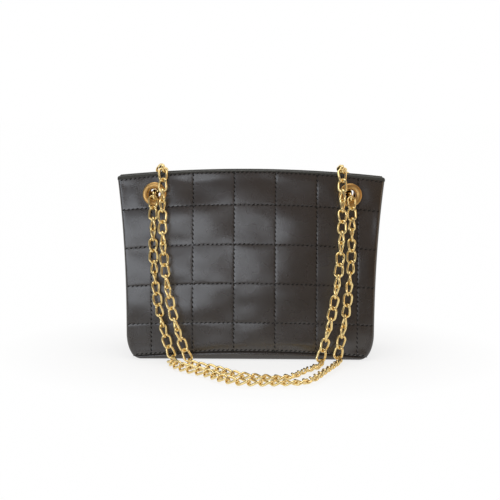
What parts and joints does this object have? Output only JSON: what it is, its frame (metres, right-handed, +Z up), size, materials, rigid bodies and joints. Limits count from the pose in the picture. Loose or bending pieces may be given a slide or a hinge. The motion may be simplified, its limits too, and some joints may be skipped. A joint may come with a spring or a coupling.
{
  "type": "crossbody bag",
  "caption": "Small square-quilted shoulder bag with folded side gussets, metal eyelets and one curb chain that hangs as two handles down its front.",
  "frame": {"origin": "middle of the base's underside, on the ground", "axes": "+X to the viewer's right along the bag's width, -Y out of the front panel, +Z up"},
  "size_m": [0.2654, 0.1719, 0.1941],
  "materials": {
    "leather": "satin black artificial leather",
    "lining": "matt woven lining",
    "board": "grey fibre board",
    "eyelet_metal": "polished deep gold plate",
    "chain_metal": "polished pale gold plate"
  },
  "bodies": {
    "bag": {"front_panel": "leather", "rear_panel": "leather", "left_gusset": "leather", "right_gusset": "leather", "base_panel": "leather", "front_binding": "leather", "rear_binding": "leather", "front_facing": "leather", "rear_facing": "leather", "lining_front": "lining", "lining_rear": "lining", "lining_left": "lining", "lining_right": "lining", "lining_base": "lining", "base_board": "board", "snap_stud": "eyelet_metal", "snap_socket": "eyelet_metal", "eyelet_front_left": "eyelet_metal", "eyelet_front_right": "eyelet_metal", "eyelet_rear_left": "eyelet_metal", "eyelet_rear_right": "eyelet_metal", "eyelet_washer_front_left": "eyelet_metal", "eyelet_washer_front_right": "eyelet_metal", "eyelet_washer_rear_left": "eyelet_metal", "eyelet_washer_rear_right": "eyelet_metal", "inner_chain_left": "chain_metal", "inner_chain_right": "chain_metal", "rear_rise_left": "chain_metal", "rear_rise_right": "chain_metal"},
    "front_strands": {"front_strand_left": "chain_metal", "front_strand_right": "chain_metal"},
    "front_loop": {"front_loop_left": "chain_metal", "front_loop_middle": "chain_metal", "front_loop_right": "chain_metal"},
    "rear_strands": {"rear_strand_left": "chain_metal", "rear_strand_right": "chain_metal"},
    "rear_loop": {"rear_loop_left": "chain_metal", "rear_loop_middle": "chain_metal", "rear_loop_right": "chain_metal"}
  },
  "joints": [
    {"name": "front_handle_swing", "type": "hinge", "parent": "bag", "child": "front_strands", "pos_m": [0, -0.01953, 0.16162], "axis": [-1, 0, 0], "range_deg": [0, 150]},
    {"name": "front_handle_knee", "type": "hinge", "parent": "front_strands", "child": "front_loop", "pos_m": [0, -0.05, 0.0062], "axis": [-1, 0, 0], "range_deg": [-80, 0]},
    {"name": "rear_handle_swing", "type": "hinge", "parent": "bag", "child": "rear_strands", "pos_m": [0, -0.0155, 0.1885], "axis": [-1, 0, 0], "range_deg": [0, 150]},
    {"name": "rear_handle_knee", "type": "hinge", "parent": "rear_strands", "child": "rear_loop", "pos_m": [0, -0.0615, 0.0062], "axis": [-1, 0, 0], "range_deg": [-80, 0]}
  ],
  "couplings": [
    {"joint": "front_handle_knee", "follows": "front_handle_swing", "ratio": -0.5},
    {"joint": "rear_handle_knee", "follows": "rear_handle_swing", "ratio": -0.5}
  ]
}
